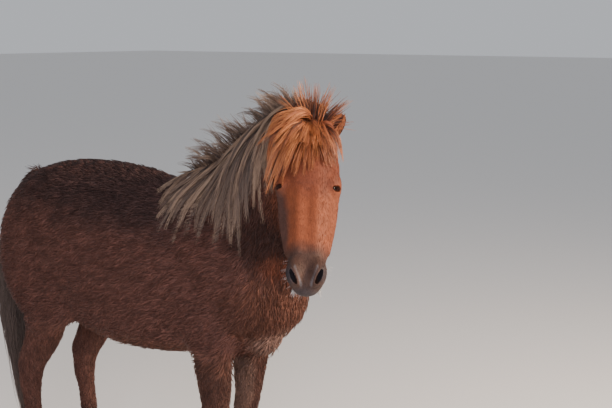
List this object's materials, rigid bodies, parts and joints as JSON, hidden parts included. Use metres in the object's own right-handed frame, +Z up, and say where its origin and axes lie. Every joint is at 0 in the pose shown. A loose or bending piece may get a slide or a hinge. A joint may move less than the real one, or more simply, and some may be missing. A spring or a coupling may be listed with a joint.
{
  "type": "icelandic horse",
  "caption": "Life-size still model of a small sturdy horse in a thick winter coat, standing with its head turned to its right, with a full forelock, mane and tail.",
  "frame": {"origin": "middle of the bounding box's base, on the floor under the belly", "axes": "+X towards the chest, +Y to the horse's left, +Z up"},
  "size_m": [2.031, 0.7106, 1.7974],
  "materials": {
    "torso": "long matte winter coat",
    "neck": "winter coat under a thick taupe mane",
    "head": "short chestnut coat, dark muzzle",
    "ear_left": "short chestnut coat",
    "ear_right": "short chestnut coat",
    "eye_left": "wet and dark",
    "eye_right": "wet and dark",
    "foreleg_left": "matte winter coat",
    "foreleg_right": "matte winter coat",
    "hindleg_left": "matte winter coat",
    "hindleg_right": "matte winter coat",
    "hoof_fore_left": "dull dark horn",
    "hoof_fore_right": "dull dark horn",
    "hoof_hind_left": "dull dark horn",
    "hoof_hind_right": "dull dark horn",
    "tail": "long coarse hair"
  },
  "bodies": {
    "root": {"torso": "torso", "neck": "neck", "head": "head", "ear_left": "ear_left", "ear_right": "ear_right", "eye_left": "eye_left", "eye_right": "eye_right", "foreleg_left": "foreleg_left", "foreleg_right": "foreleg_right", "hindleg_left": "hindleg_left", "hindleg_right": "hindleg_right", "hoof_fore_left": "hoof_fore_left", "hoof_fore_right": "hoof_fore_right", "hoof_hind_left": "hoof_hind_left", "hoof_hind_right": "hoof_hind_right", "tail": "tail"}
  },
  "joints": []
}
